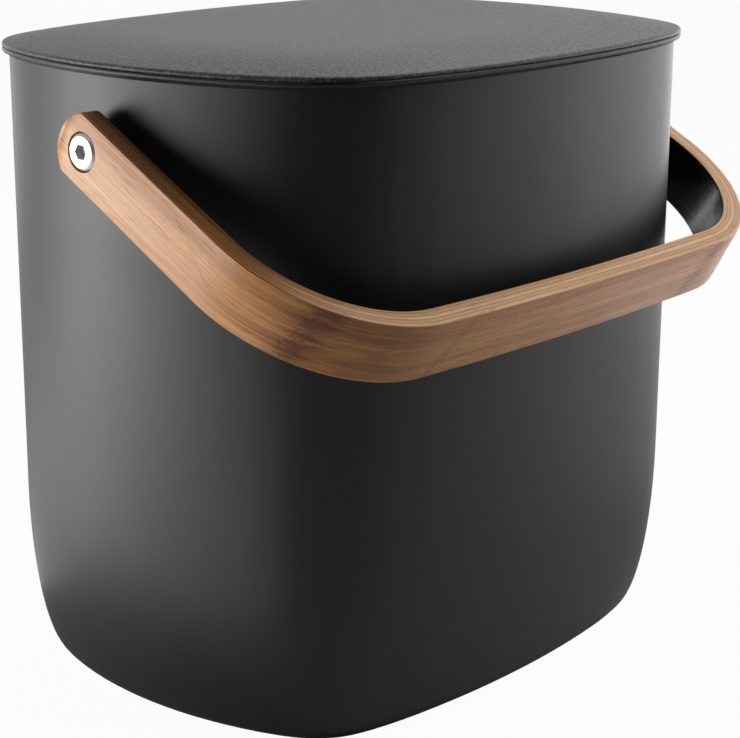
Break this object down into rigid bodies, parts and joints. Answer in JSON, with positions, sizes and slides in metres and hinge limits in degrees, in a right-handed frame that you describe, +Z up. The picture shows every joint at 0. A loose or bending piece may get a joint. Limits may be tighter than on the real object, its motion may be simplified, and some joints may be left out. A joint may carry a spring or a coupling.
{
  "type": "recycling bin",
  "caption": "Countertop recycling bin with a bowed black plastic body, a crowned lift-off lid and a bent bamboo handle that swings on pivot screws.",
  "frame": {"origin": "middle of the flat base that the bin stands on", "axes": "+Z up, X along the handle's pivot axis, -Y towards the front, where the handle hangs"},
  "size_m": [0.2224, 0.1733, 0.1939],
  "materials": {
    "black_plastic": "fine matte moulded black plastic",
    "lid_plastic": "matte black plastic with a fine spark-eroded grain",
    "silicone": "soft black silicone",
    "bamboo": "clear satin lacquer on carbonised bamboo",
    "stained_bamboo": "dark brown stain under gloss lacquer on the inner face",
    "stainless": "satin stainless steel",
    "nylon": "plain black nylon"
  },
  "bodies": {
    "bin": {"bin_body": "black_plastic", "pivot_screw_left": "stainless", "pivot_screw_right": "stainless", "pivot_sleeve_left": "stainless", "pivot_sleeve_right": "stainless", "pivot_spacer_left": "nylon", "pivot_spacer_right": "nylon", "pivot_washer_left": "stainless", "pivot_washer_right": "stainless", "pivot_nut_left": "stainless", "pivot_nut_right": "stainless"},
    "lid": {"lid": "lid_plastic", "lid_seal": "silicone"},
    "handle": {"handle_ply_outer": "bamboo", "handle_ply_second": "bamboo", "handle_ply_middle": "bamboo", "handle_ply_fourth": "bamboo", "handle_ply_inner": "stained_bamboo"}
  },
  "joints": [
    {"name": "handle_swing", "type": "hinge", "parent": "bin", "child": "handle", "pos_m": [0, 0, 0.1674], "axis": [-1, 0, 0], "range_deg": [0, 237.8]},
    {"name": "lid_lift", "type": "slide", "parent": "bin", "child": "lid", "axis": [0, 0, 1], "range_m": [0, 0.12]}
  ]
}
